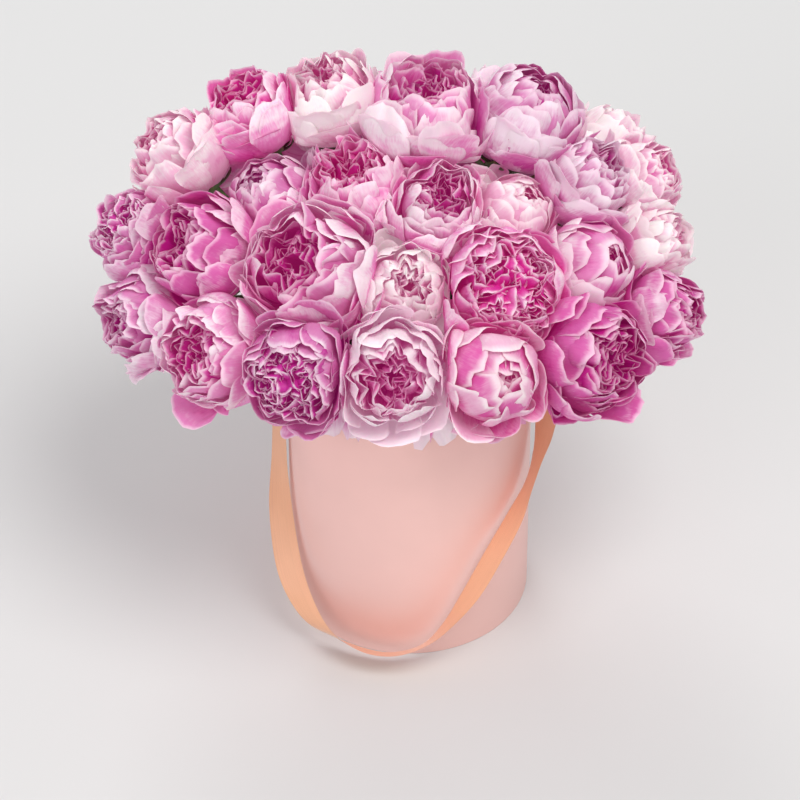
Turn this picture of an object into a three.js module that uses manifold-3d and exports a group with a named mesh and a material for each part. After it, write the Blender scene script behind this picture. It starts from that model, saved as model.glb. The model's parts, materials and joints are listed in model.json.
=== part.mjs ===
// A domed arrangement of cut peonies in a tall round box with a ribbon handle.
//
// Millimetres, +Z up. The origin is the middle of the box's underside; -Y is the front, where the ribbon hangs.
// Every flower is one body, a bloom on its own bent stem, and the stems stand in a foam block inside a liner.

import * as THREE from 'three';
import { mergeVertices } from 'three/addons/utils/BufferGeometryUtils.js';
import Module from 'manifold-3d';

const wasm = await Module();
wasm.setup();

// Box
const BOX_DIAMETER = 220;
const BOX_HEIGHT = 290;
const BOARD_THICKNESS = 2.5;
const BASE_THICKNESS = 3;
const ROUND_SEGMENTS = 48;
const CLEARANCE = 0.3;

// Liner and foam
const LINER_DIAMETER = 208;
const LINER_THICKNESS = 1.2;
const LINER_TOP = 252;
const FOAM_DIAMETER = 204;
const FOAM_TOP = 248;

// Flowers
const STEM_DIAMETER = 6.4;
const STEM_SIDES = 5;
const STEM_STEPS = 8;
const STEM_TIP_HEIGHT = 200;
const STEM_RISE = 0.5;
const STEM_RISE_OVER_RIM = 50;
const STEM_APPROACH = 0.55;
const STEM_SINK_INTO_BLOOM = 7;
const HOLE_DIAMETER = 9.8;
const HOLE_SIDES = 6;
const BLOOM_FULLNESS = 1.12;
const BLOOM_SEGMENTS = 10;
const BLOOM_RINGS = 7;
const HEART = new THREE.Vector3(-10, 20, 240);

// Ribbon and its end bars
const RIBBON_WIDTH = 25;
const RIBBON_THICKNESS = 0.8;
const RIBBON_STEPS = 56;
const SLOT_HEIGHT_ABOVE_FLOOR = 262;
const SLOT_WIDTH = 27;
const SLOT_HEIGHT = 2.6;
const STOP_LENGTH = 34;
const STOP_SECTION = 4;

const BOX_RADIUS = BOX_DIAMETER / 2;
const WALL_INNER_RADIUS = BOX_RADIUS - BOARD_THICKNESS;
const LINER_FLOOR = BASE_THICKNESS + CLEARANCE;
const FOAM_BOTTOM = LINER_FLOOR + LINER_THICKNESS + CLEARANCE;

// How far out each row's stems stand in the foam, as a share of how far out their blooms are.
const FOOT_SPREAD = { front: 0.38, rear: 0.38, back: 0.33, shoulder: 0.33, crown: 0.27, top: 0.36 };

// Each row lists its flowers from left to right: where the middle of the bloom is, how wide its ball of petals
// is, and its tint. The outer petals stand BLOOM_FULLNESS times as wide, and flatten where blooms press together.
const FLOWER_ROWS = {
  front: [
    [-235, -15, 320, 74, 'mauve'],
    [-172, -92, 345, 80, 'pink'],
    [-97, -135, 358, 82, 'mauve'],
    [-15, -140, 360, 88, 'pink'],
    [72, -140, 358, 84, 'pale'],
    [160, -95, 342, 88, 'deep'],
    [225, -15, 325, 70, 'deep'],
  ],
  shoulder: [
    [-243, 50, 365, 70, 'mauve'],
    [-183, 0, 383, 86, 'deep'],
    [-89, -52, 400, 106, 'pink'],
    [-4, -65, 390, 76, 'pale'],
    [80, -70, 394, 100, 'rose'],
    [158, -12, 376, 78, 'pink'],
    [215, 45, 357, 70, 'pale'],
  ],
  crown: [
    [-205, 100, 410, 80, 'pale'],
    [-123, 45, 406, 74, 'mauve'],
    [-46, 34, 426, 82, 'rose'],
    [26, 5, 427, 74, 'pink'],
    [92, 18, 410, 68, 'pale'],
    [155, 55, 416, 76, 'mauve'],
    [208, 85, 398, 64, 'pale'],
  ],
  top: [
    [-140, 117, 447, 80, 'rose'],
    [-70, 120, 461, 82, 'pale'],
    [14, 95, 465, 96, 'pink'],
    [104, 102, 453, 96, 'mauve'],
  ],
  back: [
    [-155, 158, 388, 80, 'pink'],
    [-85, 182, 397, 84, 'rose'],
    [0, 188, 402, 88, 'mauve'],
    [92, 176, 397, 90, 'pink'],
    [181, 138, 390, 74, 'pale'],
  ],
  rear: [
    [-232, 50, 298, 74, 'mauve'],
    [-205, 122, 322, 78, 'pink'],
    [-135, 175, 318, 80, 'deep'],
    [-50, 202, 320, 84, 'pale'],
    [38, 205, 322, 86, 'rose'],
    [120, 180, 320, 80, 'mauve'],
    [190, 120, 315, 76, 'pink'],
    [215, 60, 298, 66, 'deep'],
  ],
};

// The ribbon's route from the left slot to the right slot: the middle of its width, then the way its width points.
const RIBBON_ROUTE = [
  [-105.5, 0, 262, 0, -1, 0],
  [-112, 0, 262, 0, -1, 0],
  [-118, -1, 257, 0.1, -1, 0],
  [-119, -4, 230, 0.3, -0.95, 0],
  [-118, -12, 190, 0.5, -0.87, 0],
  [-118, -20, 155, 0.6, -0.8, 0],
  [-117, -38, 112, 0.88, -0.45, -0.05],
  [-110, -60, 75, 0.95, -0.25, -0.2],
  [-100, -80, 54, 0.85, -0.3, -0.45],
  [-85, -101, 38, 0.55, -0.55, -0.65],
  [-65, -117, 29, 0.1, -0.75, 0.55],
  [-35, -129, 23, -0.1, -0.8, 0.55],
  [-10, -133, 22, 0, -0.8, 0.55],
  [15, -131, 32, 0.15, -0.75, 0.6],
  [35, -126, 52, 0.3, -0.75, 0.5],
  [56, -118, 83, 0.55, -0.8, 0.3],
  [76, -105, 118, 0.6, -0.8, 0.25],
  [94, -84, 143, 0.55, -0.8, 0.35],
  [107, -63, 163, 0.1, -0.95, 0.3],
  [114, -46, 184, -0.15, -1, 0.1],
  [121, -30, 203, -0.1, -1, 0],
  [123, -14, 228, -0.05, -1, 0],
  [119, -3, 254, 0, -1, 0],
  [112, 0, 262, 0, -1, 0],
  [105.5, 0, 262, 0, -1, 0],
];

const group = new THREE.Group();

function paint(colour, roughness) {
  return new THREE.MeshStandardMaterial({ color: colour, roughness, metalness: 0 });
}

const paints = {
  board: paint(0xe7b7b1, 0.62),
  liner: paint(0xe9ecec, 0.4),
  foam: paint(0x3f6b47, 0.95),
  bar: paint(0xf0f0ee, 0.45),
  ribbon: paint(0xe8b092, 0.42),
};
const TINTS = { pale: 0xf1dbe6, pink: 0xeac0dc, rose: 0xe9b0cf, mauve: 0xe0a2cf, deep: 0xdb8cc2 };

function addPiece(name, geometry, material) {
  const mesh = new THREE.Mesh(geometry, material);
  mesh.name = name;
  group.add(mesh);
}

// A three.js geometry as a solid that can be joined and cut, and back again.
function solidOf(geometry) {
  const bare = geometry.clone();
  bare.deleteAttribute('normal');
  bare.deleteAttribute('uv');
  const merged = mergeVertices(bare, 1e-4);
  return new wasm.Manifold(new wasm.Mesh({
    numProp: 3,
    vertProperties: new Float32Array(merged.attributes.position.array),
    triVerts: new Uint32Array(merged.index.array),
  }));
}

function geometryOf(solid) {
  const mesh = solid.getMesh();
  const geometry = new THREE.BufferGeometry();
  geometry.setAttribute('position', new THREE.BufferAttribute(mesh.vertProperties, 3));
  geometry.setIndex(new THREE.BufferAttribute(mesh.triVerts, 1));
  return geometry;
}

// A ring or a cup turned about the upright axis from a closed outline of [radius, height] points.
function turned(outline) {
  const points = outline.map(([radius, height]) => new THREE.Vector2(radius, height));
  return new THREE.LatheGeometry(points, ROUND_SEGMENTS).rotateX(Math.PI / 2);
}

function uprightCylinder(radius, bottom, top, sides = ROUND_SEGMENTS) {
  const geometry = new THREE.CylinderGeometry(radius, radius, top - bottom, sides);
  return geometry.rotateX(Math.PI / 2).translate(0, 0, (top + bottom) / 2);
}

function addBox() {
  const slots = new THREE.BoxGeometry(2 * BOX_DIAMETER, SLOT_WIDTH, SLOT_HEIGHT);
  slots.translate(0, 0, SLOT_HEIGHT_ABOVE_FLOOR);
  const wall = solidOf(turned([
    [WALL_INNER_RADIUS, 0],
    [BOX_RADIUS, 0],
    [BOX_RADIUS, BOX_HEIGHT],
    [WALL_INNER_RADIUS, BOX_HEIGHT],
    [WALL_INNER_RADIUS, 0],
  ]));
  addPiece('box_wall', geometryOf(wall.subtract(solidOf(slots))), paints.board);
  addPiece('box_base', uprightCylinder(WALL_INNER_RADIUS - CLEARANCE, 0, BASE_THICKNESS), paints.board);
}

function addLiner() {
  const outer = LINER_DIAMETER / 2;
  const inner = outer - LINER_THICKNESS;
  addPiece('liner_cup', turned([
    [0, LINER_FLOOR],
    [outer, LINER_FLOOR],
    [outer, LINER_TOP],
    [inner, LINER_TOP],
    [inner, LINER_FLOOR + LINER_THICKNESS],
    [0, LINER_FLOOR + LINER_THICKNESS],
  ]), paints.liner);
}

function addFoam(flowers) {
  let block = solidOf(uprightCylinder(FOAM_DIAMETER / 2, FOAM_BOTTOM, FOAM_TOP));
  for (const { foot } of flowers) {
    const hole = uprightCylinder(HOLE_DIAMETER / 2, STEM_TIP_HEIGHT - 1, FOAM_TOP + 5, HOLE_SIDES);
    block = block.subtract(solidOf(hole.translate(foot.x, foot.y, 0)));
  }
  addPiece('foam_block', geometryOf(block), paints.foam);
}

// Where a flower's parts are: the bloom faces away from the dome's heart, and its foot is its hole in the foam.
function placeFlower(name, [x, y, z, width, tint], spread) {
  const middle = new THREE.Vector3(x, y, z);
  const facing = middle.clone().sub(HEART).normalize();
  const foot = new THREE.Vector3(x * spread, y * spread, FOAM_TOP);
  return { name, middle, facing, foot, tint, radius: (BLOOM_FULLNESS * width) / 2 };
}

// A globe, flattened where it presses on a neighbouring bloom.
function bloomGeometry(flower, flowers) {
  const presses = [];
  for (const other of flowers) {
    const towards = other.middle.clone().sub(flower.middle);
    const distance = towards.length();
    if (other !== flower && distance < flower.radius + other.radius + CLEARANCE) {
      const share = (distance ** 2 + flower.radius ** 2 - other.radius ** 2) / (2 * distance);
      presses.push({ towards: towards.normalize(), reach: share - CLEARANCE / 2 });
    }
  }
  const geometry = new THREE.SphereGeometry(flower.radius, BLOOM_SEGMENTS, BLOOM_RINGS);
  const pole = new THREE.Vector3(0, 1, 0);
  geometry.applyQuaternion(new THREE.Quaternion().setFromUnitVectors(pole, flower.facing));
  const positions = geometry.attributes.position;
  const point = new THREE.Vector3();
  for (let index = 0; index < positions.count; index += 1) {
    point.fromBufferAttribute(positions, index).normalize();
    let reach = flower.radius;
    for (const press of presses) {
      const lean = point.dot(press.towards);
      if (lean > 0) reach = Math.min(reach, press.reach / lean);
    }
    point.multiplyScalar(reach).add(flower.middle);
    positions.setXYZ(index, point.x, point.y, point.z);
  }
  return geometry;
}

// A stem stands upright in the foam, then bends towards its bloom and clears the box's rim on the way.
function stemGeometry({ middle, facing, foot, radius }) {
  const top = middle.clone().addScaledVector(facing, STEM_SINK_INTO_BLOOM - radius);
  const overRim = Math.hypot(top.x, top.y) > BOX_RADIUS - 2 * STEM_DIAMETER;
  const rise = foot.clone();
  const rimRise = Math.max(BOX_HEIGHT + STEM_RISE_OVER_RIM, top.z);
  rise.z = overRim ? rimRise : THREE.MathUtils.lerp(foot.z, top.z, STEM_RISE);
  const approach = top.clone().addScaledVector(facing, -STEM_APPROACH * top.distanceTo(rise));
  if (overRim) approach.z = Math.max(approach.z, BOX_HEIGHT + STEM_DIAMETER);
  const path = new THREE.CurvePath();
  path.add(new THREE.LineCurve3(new THREE.Vector3(foot.x, foot.y, STEM_TIP_HEIGHT), foot));
  path.add(new THREE.CubicBezierCurve3(foot, rise, approach, top));
  const section = new THREE.Shape(regularPolygon(STEM_DIAMETER / 2, STEM_SIDES));
  return new THREE.ExtrudeGeometry(section, { steps: STEM_STEPS, extrudePath: path });
}

function regularPolygon(radius, sides) {
  const points = [];
  for (let corner = 0; corner < sides; corner += 1) {
    const angle = (2 * Math.PI * corner) / sides;
    points.push(new THREE.Vector2(radius * Math.cos(angle), radius * Math.sin(angle)));
  }
  return points;
}

function addFlowers(flowers) {
  for (const flower of flowers) {
    const bloom = solidOf(bloomGeometry(flower, flowers));
    const stem = solidOf(stemGeometry(flower));
    addPiece(flower.name, geometryOf(bloom.add(stem)), paint(TINTS[flower.tint], 0.8));
  }
}

// A flat band lofted along two edge curves that run side by side.
function addRibbon() {
  const edges = [-1, 1].map((side) => new THREE.CatmullRomCurve3(
    RIBBON_ROUTE.map(([x, y, z, acrossX, acrossY, acrossZ]) => {
      const across = new THREE.Vector3(acrossX, acrossY, acrossZ).setLength(RIBBON_WIDTH / 2);
      return new THREE.Vector3(x, y, z).addScaledVector(across, side);
    }),
  ));
  const corners = [];
  for (let step = 0; step <= RIBBON_STEPS; step += 1) {
    const along = step / RIBBON_STEPS;
    const [near, far] = edges.map((edge) => edge.getPoint(along));
    const onward = edges[0].getTangent(along).add(edges[1].getTangent(along));
    const face = far.clone().sub(near).cross(onward).setLength(RIBBON_THICKNESS / 2);
    for (const [edge, side] of [[near, -1], [far, -1], [far, 1], [near, 1]]) {
      corners.push(...edge.clone().addScaledVector(face, side).toArray());
    }
  }
  const triangles = [0, 1, 2, 0, 2, 3];
  for (let step = 0; step < RIBBON_STEPS; step += 1) {
    for (let side = 0; side < 4; side += 1) {
      const here = 4 * step + side;
      const beside = 4 * step + ((side + 1) % 4);
      triangles.push(here, here + 4, beside, beside, here + 4, beside + 4);
    }
  }
  const end = 4 * RIBBON_STEPS;
  triangles.push(end, end + 2, end + 1, end, end + 3, end + 2);
  const geometry = new THREE.BufferGeometry();
  geometry.setAttribute('position', new THREE.Float32BufferAttribute(corners, 3));
  geometry.setIndex(triangles);
  addPiece('ribbon_handle', geometry, paints.ribbon);
}

// The ribbon's ends are knotted round a bar inside the wall, and the bar is too long to pass back through the slot.
function addStops() {
  const [ribbonEnd] = RIBBON_ROUTE;
  const reach = Math.abs(ribbonEnd[0]) - CLEARANCE - STOP_SECTION / 2;
  for (const [name, side] of [['ribbon_stop_left', -1], ['ribbon_stop_right', 1]]) {
    const bar = new THREE.BoxGeometry(STOP_SECTION, STOP_LENGTH, STOP_SECTION);
    addPiece(name, bar.translate(side * reach, 0, SLOT_HEIGHT_ABOVE_FLOOR), paints.bar);
  }
}

const flowers = Object.entries(FLOWER_ROWS).flatMap(([row, places]) => (
  places.map((place, index) => placeFlower(`peony_${row}_${index + 1}`, place, FOOT_SPREAD[row]))
));

addBox();
addLiner();
addFoam(flowers);
addFlowers(flowers);
addRibbon();
addStops();

export default group;
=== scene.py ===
"""Cut peonies in a tall round box with a hanging ribbon handle, built around the object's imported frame.

Metres, +Z up, the origin under the middle of the box, -Y towards the front.
"""

import json
import math
from math import cos, sin
from typing import NamedTuple

import bpy
import numpy as np
from bpy.props import FloatProperty, FloatVectorProperty, PointerProperty
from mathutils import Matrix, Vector
from numpy.linalg import norm


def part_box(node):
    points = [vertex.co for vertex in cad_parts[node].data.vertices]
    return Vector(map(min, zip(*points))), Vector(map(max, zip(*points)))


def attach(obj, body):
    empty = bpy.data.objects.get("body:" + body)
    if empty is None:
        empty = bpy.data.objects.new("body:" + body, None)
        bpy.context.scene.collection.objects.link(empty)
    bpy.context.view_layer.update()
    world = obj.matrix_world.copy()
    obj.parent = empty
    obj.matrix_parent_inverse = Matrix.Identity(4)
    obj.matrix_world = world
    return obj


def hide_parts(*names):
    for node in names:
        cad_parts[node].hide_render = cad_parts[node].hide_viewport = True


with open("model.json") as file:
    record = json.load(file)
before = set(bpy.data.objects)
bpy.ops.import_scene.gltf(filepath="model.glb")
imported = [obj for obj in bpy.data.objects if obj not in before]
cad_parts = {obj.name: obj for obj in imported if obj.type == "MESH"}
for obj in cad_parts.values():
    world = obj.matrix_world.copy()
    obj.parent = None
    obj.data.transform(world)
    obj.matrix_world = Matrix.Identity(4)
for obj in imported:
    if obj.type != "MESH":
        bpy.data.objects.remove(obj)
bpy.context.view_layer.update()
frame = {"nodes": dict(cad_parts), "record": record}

bl_info = {
    "name": "Peony Box",
    "version": (1, 0, 0),
    "blender": (4, 5, 0),
    "location": "View3D > Sidebar > Peony Box",
    "description": "Builds a domed arrangement of cut peonies in a round box with a ribbon handle",
    "category": "Add Mesh",
}

MM = 0.001

# What the frame says
WALL_LOW, WALL_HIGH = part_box("box_wall")
BOX_RADIUS = (WALL_HIGH.x - WALL_LOW.x) / 2
BOX_HEIGHT = WALL_HIGH.z
BASE_RADIUS = (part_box("box_base")[1].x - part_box("box_base")[0].x) / 2
FOAM_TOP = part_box("foam_block")[1].z
SLOT_HEIGHT = (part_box("ribbon_stop_left")[0].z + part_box("ribbon_stop_left")[1].z) / 2
SLOT_OF_NODE = {part["node"]: part["material_slot"] for part in frame["record"]["subparts"]}

# The blooms face away from this point inside the dome.
HEART = np.array([-0.010, 0.020, 0.240])

# How high the half of a bloom that faces out stands, as a share of a globe
SQUAT = 0.88
TOP_SQUAT = 0.80

STEM_RADIUS = 3.2 * MM
STEM_RISE_OVER_RIM = 50 * MM
STEM_APPROACH = 0.55
STEM_SINK = 7 * MM
STEM_DEPTH = 47 * MM
STEM_SLIMMER = 0.94
STEM_STEPS = 26
STEM_ALONG = 0.4
RECEPTACLE_SWELLS = (1.15, 1.5, 2.0)
SEPALS = 5
TUBE_SIDES = 8

# A bloom's own petals fill this share of its globe; its guard petals fill the rest.
BLOOM_SHARE = 0.93

# The ribbon's route between the slots, in millimetres: the middle of its width, then its width's direction
RIBBON_ROUTE = [
    (-105.5, 0, 262, 0, -1, 0),
    (-112, 0, 262, 0, -1, 0),
    (-118, -1, 257, 0.1, -1, 0),
    (-119, -4, 230, 0.3, -0.95, 0),
    (-118, -12, 190, 0.5, -0.87, 0),
    (-118, -20, 155, 0.6, -0.8, 0),
    (-117, -38, 112, 0.88, -0.45, -0.05),
    (-111, -62, 72, 0.97, -0.2, 0.1),
    (-101, -84, 50, 0.93, -0.3, 0.25),
    (-85, -105, 34, 0.70, -0.55, 0.45),
    (-63, -119, 26, 0.25, -0.80, 0.55),
    (-35, -130, 21, -0.1, -0.8, 0.55),
    (-10, -133, 22, 0, -0.8, 0.55),
    (15, -131, 32, 0.15, -0.75, 0.6),
    (35, -126, 52, 0.3, -0.75, 0.5),
    (56, -118, 83, 0.55, -0.8, 0.3),
    (76, -105, 118, 0.6, -0.8, 0.25),
    (94, -84, 143, 0.55, -0.8, 0.35),
    (107, -63, 163, 0.2, -0.95, 0.3),
    (115, -46, 184, 0.25, -0.95, 0.1),
    (121, -30, 203, 0.60, -0.80, 0),
    (125, -14, 228, 0.75, -0.66, 0),
    (122, -3, 252, 0.60, -0.80, 0),
    (112, 0, 262, 0, -1, 0),
    (105.5, 0, 262, 0, -1, 0),
]


# --- Node materials ---


class Wire:
    """A socket that takes part in plain arithmetic; each operation adds a Math node."""

    def __init__(self, finish, socket):
        self.finish = finish
        self.socket = socket

    def __add__(self, other):
        return self.finish.math("ADD", self, other)

    def __sub__(self, other):
        return self.finish.math("SUBTRACT", self, other)

    def __rsub__(self, other):
        return self.finish.math("SUBTRACT", other, self)

    def __mul__(self, other):
        return self.finish.math("MULTIPLY", self, other)

    __radd__ = __add__
    __rmul__ = __mul__


class Finish:
    """One node material around a Principled shader."""

    def __init__(self, name, **constants):
        self.material = bpy.data.materials.new(name)
        self.material.use_nodes = True
        self.tree = self.material.node_tree
        self.shader = next(n for n in self.tree.nodes if n.type == "BSDF_PRINCIPLED")
        for socket, value in constants.items():
            self.shader.inputs[socket.replace("_", " ").title().replace("Ior", "IOR")].default_value = value

    def node(self, kind, settings=None, values=None, output=0):
        """Adds a node with its settings and its sockets' values or wires, and gives one of its outputs."""
        node = self.tree.nodes.new(kind)
        for key, value in (settings or {}).items():
            setattr(node, key, value)
        for socket, value in (values or {}).items():
            self.feed(node.inputs[socket], value)
        return Wire(self, node.outputs[output])

    def feed(self, socket, value):
        if isinstance(value, Wire):
            self.tree.links.new(value.socket, socket)
        else:
            socket.default_value = value

    def surface(self, **wires):
        for socket, wire in wires.items():
            self.feed(self.shader.inputs[socket.replace("_", " ").title()], wire)

    def math(self, operation, first, second):
        return self.node("ShaderNodeMath", {"operation": operation}, {0: first, 1: second})

    def ease(self, value, low, high, out_low=0.0, out_high=1.0):
        """A smooth rise from out_low to out_high as the value goes from low to high."""
        settings = {"interpolation_type": "SMOOTHSTEP", "clamp": True}
        values = {0: value, 1: low, 2: high, 3: out_low, 4: out_high}
        return self.node("ShaderNodeMapRange", settings, values)

    def mix(self, factor, first, second):
        """A colour between two colours."""
        return self.node("ShaderNodeMix", {"data_type": "RGBA"}, {0: factor, 6: first, 7: second}, 2)

    def shades(self, value, low, high, colour, first, second):
        """One colour at two strengths, from the first at low to the second at high."""
        return self.mix(self.ease(value, low, high), rgba(colour, first), rgba(colour, second))

    def place(self):
        """The point on the object, in metres."""
        return self.node("ShaderNodeTexCoord", output=3)

    def layer(self, name):
        """A vector stored on the mesh's points."""
        return self.node("ShaderNodeAttribute", {"attribute_name": name}, output=1)

    def parts(self, vector):
        """The three numbers of a vector."""
        split = self.node("ShaderNodeSeparateXYZ", values={0: vector})
        return [Wire(self, output) for output in split.socket.node.outputs]

    def stretch(self, vector, scale):
        return self.node("ShaderNodeVectorMath", {"operation": "MULTIPLY"}, {0: vector, 1: scale})

    def noise(self, vector, scale, detail=2.0, roughness=0.5):
        values = {"Vector": vector, "Scale": scale, "Detail": detail, "Roughness": roughness}
        return self.node("ShaderNodeTexNoise", values=values)

    def bump(self, height, strength, distance):
        values = {"Strength": strength, "Distance": distance, "Height": height}
        return self.node("ShaderNodeBump", values=values)


def rgba(colour, gain=1.0):
    return (*[min(1.0, gain * channel) for channel in colour], 1.0)


def petal_finish(name, tint):
    """Soft petals: thin pale rims, partly their own colour and partly painted light through them, deeper
    towards the foot and inside the bloom, with veins along them, and a painted glow that lifts them, most in
    their depths.
    """
    finish = Finish(
        name,
        roughness=0.5,
        subsurface_weight=0.25,
        subsurface_radius=(1.0, 0.35, 0.6),
        subsurface_scale=4 * MM,
        specular_ior_level=0.35,
        # The emission is a painted glow: the petals give off light of their own.
        emission_strength=0.10,
    )
    along, inner, tone = finish.parts(finish.layer("petal"))
    depth, guard, fleck = finish.parts(finish.layer("bloom"))
    grain = finish.layer("grain")
    veins = finish.noise(finish.stretch(grain, (1.0, 0.10, 1.0)), 6.0, 3.0, 0.6)
    clouds = finish.noise(grain, 0.45, 2.0)
    # sunk deepens the colour towards the bloom's middle and in the grooves where neighbours press the petals;
    # in the grooves that is painted shade.
    sunk = finish.ease(depth, 0.0, 0.40)
    shade = 0.47 + (1 - along) * 0.80 + sunk * 0.62 + inner * 0.10 - guard * 0.46
    shade = shade + (veins - 0.5) * 0.55 + (clouds - 0.5) * 0.90 + (tone - 0.5) * 0.55
    blush = finish.mix(finish.ease(shade, 0.05, 0.62), rgba(tint.rim), rgba(tint.middle))
    blush = finish.mix(finish.ease(shade, 0.62, 1.25), blush, rgba(tint.deep))
    # The thin pale band at the rims is partly the petals' own paler rims and partly painted light shining
    # through the thin rims.
    edge = finish.ease(along + (veins - 0.5) * 0.06, 0.91, 0.99) * (1 - sunk * 0.2)
    colour = finish.mix(edge * (0.85 - guard * 0.35), blush, rgba(tint.rim, 1.10))
    long_streaks = finish.noise(finish.stretch(grain, (1.0, 0.06, 1.0)), 1.6, 3.0)
    streaks = finish.ease(long_streaks, 0.54, 0.72) * fleck * finish.ease(along, 1.0, 0.6)
    colour = finish.mix(streaks * 0.70, colour, rgba(tint.deep))
    relief = finish.bump(veins + clouds * 0.6, 0.30, 0.5 * MM)
    # Painted glow: emission in the petals' own colour everywhere, deeper and stronger where they lie sunk in
    # the bloom or pressed into a groove.
    glow = finish.mix(0.25 + sunk * 0.6, colour, rgba(tint.deep, 1.5))
    finish.surface(base_color=colour, emission_color=glow, normal=relief)
    return finish.material


def green_finish(name, colour):
    """Waxy green, redder and yellower in patches, with veins."""
    finish = Finish(name, roughness=0.5, subsurface_weight=0.05, subsurface_scale=2 * MM)
    along, _, tone = finish.parts(finish.layer("petal"))
    grain = finish.layer("grain")
    veins = finish.noise(finish.stretch(grain, (1.0, 0.2, 1.0)), 4.0, 3.0)
    patches = finish.noise(finish.place(), 60.0, 3.0)
    base = finish.shades(patches, 0.35, 0.7, colour, 1.0, 1.9)
    base = finish.mix(finish.ease(veins, 0.55, 0.75) * 0.5, base, (0.20, 0.30, 0.08, 1.0))
    flush = finish.ease(along * tone, 0.55, 0.95)
    base = finish.mix(flush * 0.6, base, (0.22, 0.05, 0.06, 1.0))
    finish.surface(base_color=base, normal=finish.bump(veins, 0.4, 0.5 * MM))
    return finish.material


def paper_finish(name, colour):
    """Matt coated paper over board: a faint mottle, a fine tooth, and painted shade that darkens it towards
    the foot.
    """
    finish = Finish(name, roughness=0.5, specular_ior_level=0.35)
    place = finish.place()
    mottle = finish.noise(place, 9.0, 3.0)
    tooth = finish.noise(place, 1400.0, 2.0)
    base = finish.shades(mottle, 0.3, 0.7, colour, 0.97, 1.02)
    base = finish.mix(finish.ease(tooth, 0.55, 0.8) * 0.10, base, rgba(colour, 0.85))
    # Painted shade: below 0.16 m the paper is mixed darker towards the foot of the box.
    base = finish.mix(finish.ease(finish.parts(place)[2], 0.16, 0.0) * 0.6, base, rgba(colour, 0.82))
    rough = finish.ease(mottle, 0.2, 0.8, 0.38, 0.46)
    finish.surface(base_color=base, roughness=rough, normal=finish.bump(tooth, 0.10, 0.1 * MM))
    return finish.material


def satin_finish(name, colour):
    """Satin ribbon: long soft threads with a close cross weave, a firmer woven edge, and lighter patches
    along it that are painted sheen.
    """
    finish = Finish(name, sheen_weight=0.35, sheen_roughness=0.35, anisotropic=0.5)
    thread = finish.layer("thread")
    across = finish.parts(thread)[0]
    threads = finish.noise(finish.stretch(thread, (140.0, 3.0, 1.0)), 1.0, 3.0)
    weave = finish.noise(finish.stretch(thread, (30.0, 900.0, 1.0)), 1.0, 1.0)
    # Painted sheen: this noise mixes lighter patches along the ribbon, standing for light catching its folds.
    folds = finish.noise(finish.stretch(thread, (1.0, 22.0, 1.0)), 1.0, 2.0)
    edge = finish.ease(finish.math("ABSOLUTE", across, 0.0), 0.90, 0.97)
    base = finish.shades(threads, 0.35, 0.65, colour, 0.93, 1.05)
    base = finish.mix(finish.ease(folds, 0.4, 0.7) * 0.25, base, rgba(colour, 1.12))
    base = finish.mix(edge * 0.35, base, rgba(colour, 0.8))
    rough = finish.ease(threads, 0.3, 0.7, 0.32, 0.46) + edge * 0.12
    relief = finish.bump(threads * 0.5 + weave * 0.5, 0.25, 0.08 * MM)
    finish.surface(base_color=base, roughness=rough, normal=relief)
    return finish.material


def foam_finish(name):
    """Wet floral foam: dark green, crumbly, with open cells."""
    finish = Finish(name, roughness=0.9)
    place = finish.place()
    cells = finish.node("ShaderNodeTexVoronoi", values={"Vector": place, "Scale": 900.0})
    damp = finish.noise(place, 45.0, 4.0)
    base = finish.mix(finish.ease(damp, 0.3, 0.7), (0.03, 0.10, 0.05, 1.0), (0.07, 0.20, 0.10, 1.0))
    base = finish.mix(finish.ease(cells, 0.0, 0.5, 0.6, 0.0), base, (0.015, 0.05, 0.025, 1.0))
    finish.surface(base_color=base, normal=finish.bump(cells + damp, 0.6, 1.0 * MM))
    return finish.material


def plastic_finish(name, colour, roughness):
    """Moulded plastic with faint flow marks and scuffs."""
    finish = Finish(name, coat_weight=0.1)
    place = finish.place()
    flow = finish.noise(finish.stretch(place, (1.0, 1.0, 0.2)), 120.0, 3.0)
    scuffs = finish.noise(place, 700.0, 2.0)
    base = finish.shades(flow, 0.3, 0.7, colour, 0.94, 1.03)
    rough = finish.ease(scuffs, 0.4, 0.8, roughness, roughness + 0.15)
    finish.surface(base_color=base, roughness=rough, normal=finish.bump(flow, 0.1, 0.2 * MM))
    return finish.material


# --- Meshes ---


def mesh_object(name, points, quads, layers=None, sharp=None):
    """A smooth mesh with vectors stored on its points and sharp edges between the marked points."""
    mesh = bpy.data.meshes.new(name)
    mesh.vertices.add(len(points))
    mesh.vertices.foreach_set("co", np.asarray(points, np.float32).ravel())
    mesh.loops.add(quads.size)
    mesh.loops.foreach_set("vertex_index", quads.astype(np.int32).ravel())
    mesh.polygons.add(len(quads))
    mesh.polygons.foreach_set("loop_start", np.arange(0, quads.size, 4, dtype=np.int32))
    mesh.polygons.foreach_set("use_smooth", np.ones(len(quads), bool))
    mesh.update(calc_edges=True)
    for layer, values in (layers or {}).items():
        stored = mesh.attributes.new(layer, "FLOAT_VECTOR", "POINT")
        stored.data.foreach_set("vector", np.asarray(values, np.float32).ravel())
    if sharp is not None:
        ends = np.empty(2 * len(mesh.edges), np.int32)
        mesh.edges.foreach_get("vertices", ends)
        both = sharp[ends.reshape(-1, 2)].all(1)
        mesh.attributes.new("sharp_edge", "BOOLEAN", "EDGE").data.foreach_set("value", both)
    shown = bpy.data.objects.new(name, mesh)
    bpy.context.scene.collection.objects.link(shown)
    return shown


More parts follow.
